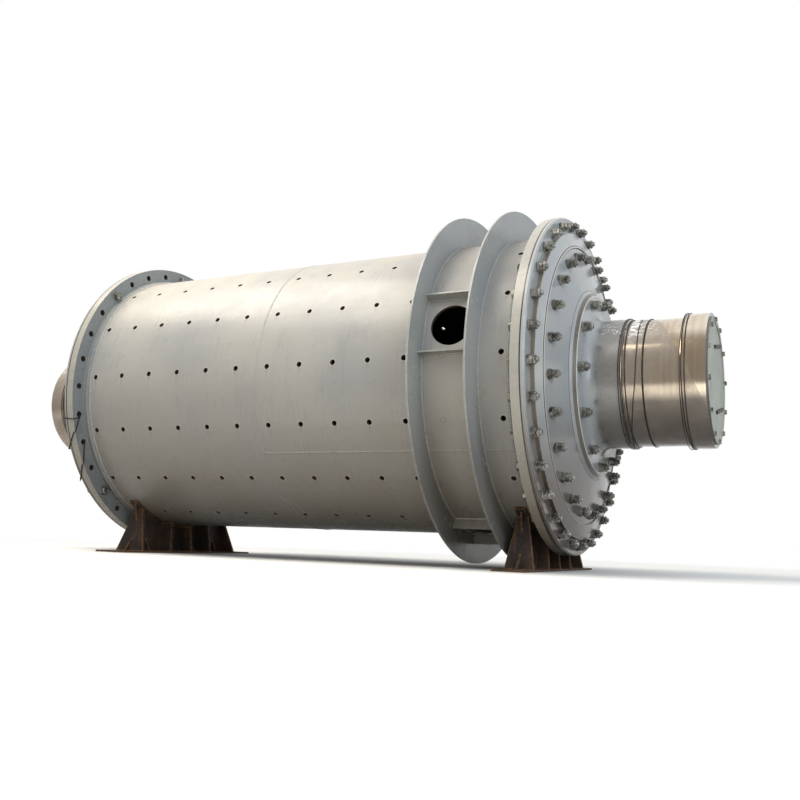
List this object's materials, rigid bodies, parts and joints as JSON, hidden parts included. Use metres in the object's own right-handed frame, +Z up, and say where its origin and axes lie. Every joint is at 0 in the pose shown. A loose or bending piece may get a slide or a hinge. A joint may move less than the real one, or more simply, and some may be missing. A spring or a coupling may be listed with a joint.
{
  "type": "rod mill drum on transport cradles",
  "caption": "Horizontal rod mill drum with bolted end covers, hollow trunnions and round discharge ports, lying in welded transport cradles.",
  "frame": {"origin": "on the ground below the middle of the drum", "axes": "+X along the mill's axis from the feed end to the discharge end, +Z up"},
  "size_m": [5.702, 2.58, 2.605],
  "materials": {
    "grey_paint": "satin",
    "turned_steel": "turned, under clear film",
    "cap_paint": "satin",
    "rusty_plate": "rusted mill scale"
  },
  "bodies": {
    "root": {"feed_shell_plate_1": "grey_paint", "feed_shell_plate_2": "grey_paint", "feed_shell_plate_3": "grey_paint", "feed_shell_plate_4": "grey_paint", "discharge_shell_plate_1": "grey_paint", "discharge_shell_plate_2": "grey_paint", "discharge_shell_plate_3": "grey_paint", "discharge_shell_plate_4": "grey_paint", "feed_shell_flange": "grey_paint", "discharge_shell_flange": "grey_paint", "port_ring_inner": "grey_paint", "port_ring_outer": "grey_paint", "port_rib_1": "grey_paint", "port_rib_2": "grey_paint", "port_rib_3": "grey_paint", "port_rib_4": "grey_paint", "port_rib_5": "grey_paint", "port_rib_6": "grey_paint", "port_rib_7": "grey_paint", "port_rib_8": "grey_paint", "feed_end_cover": "grey_paint", "discharge_end_cover": "grey_paint", "feed_trunnion": "turned_steel", "feed_trunnion_cap": "cap_paint", "feed_cradle_base": "rusty_plate", "feed_cradle_web": "rusty_plate", "feed_cradle_pad": "rusty_plate", "feed_cradle_end_front": "rusty_plate", "feed_cradle_end_back": "rusty_plate", "feed_cradle_rib_front": "rusty_plate", "feed_cradle_rib_middle": "rusty_plate", "feed_cradle_rib_back": "rusty_plate", "feed_cradle_gussets": "rusty_plate", "discharge_trunnion": "turned_steel", "discharge_trunnion_cap": "cap_paint", "discharge_cradle_base": "rusty_plate", "discharge_cradle_web": "rusty_plate", "discharge_cradle_pad": "rusty_plate", "discharge_cradle_end_front": "rusty_plate", "discharge_cradle_end_back": "rusty_plate", "discharge_cradle_rib_front": "rusty_plate", "discharge_cradle_rib_middle": "rusty_plate", "discharge_cradle_rib_back": "rusty_plate", "discharge_cradle_gussets": "rusty_plate"}
  },
  "joints": []
}
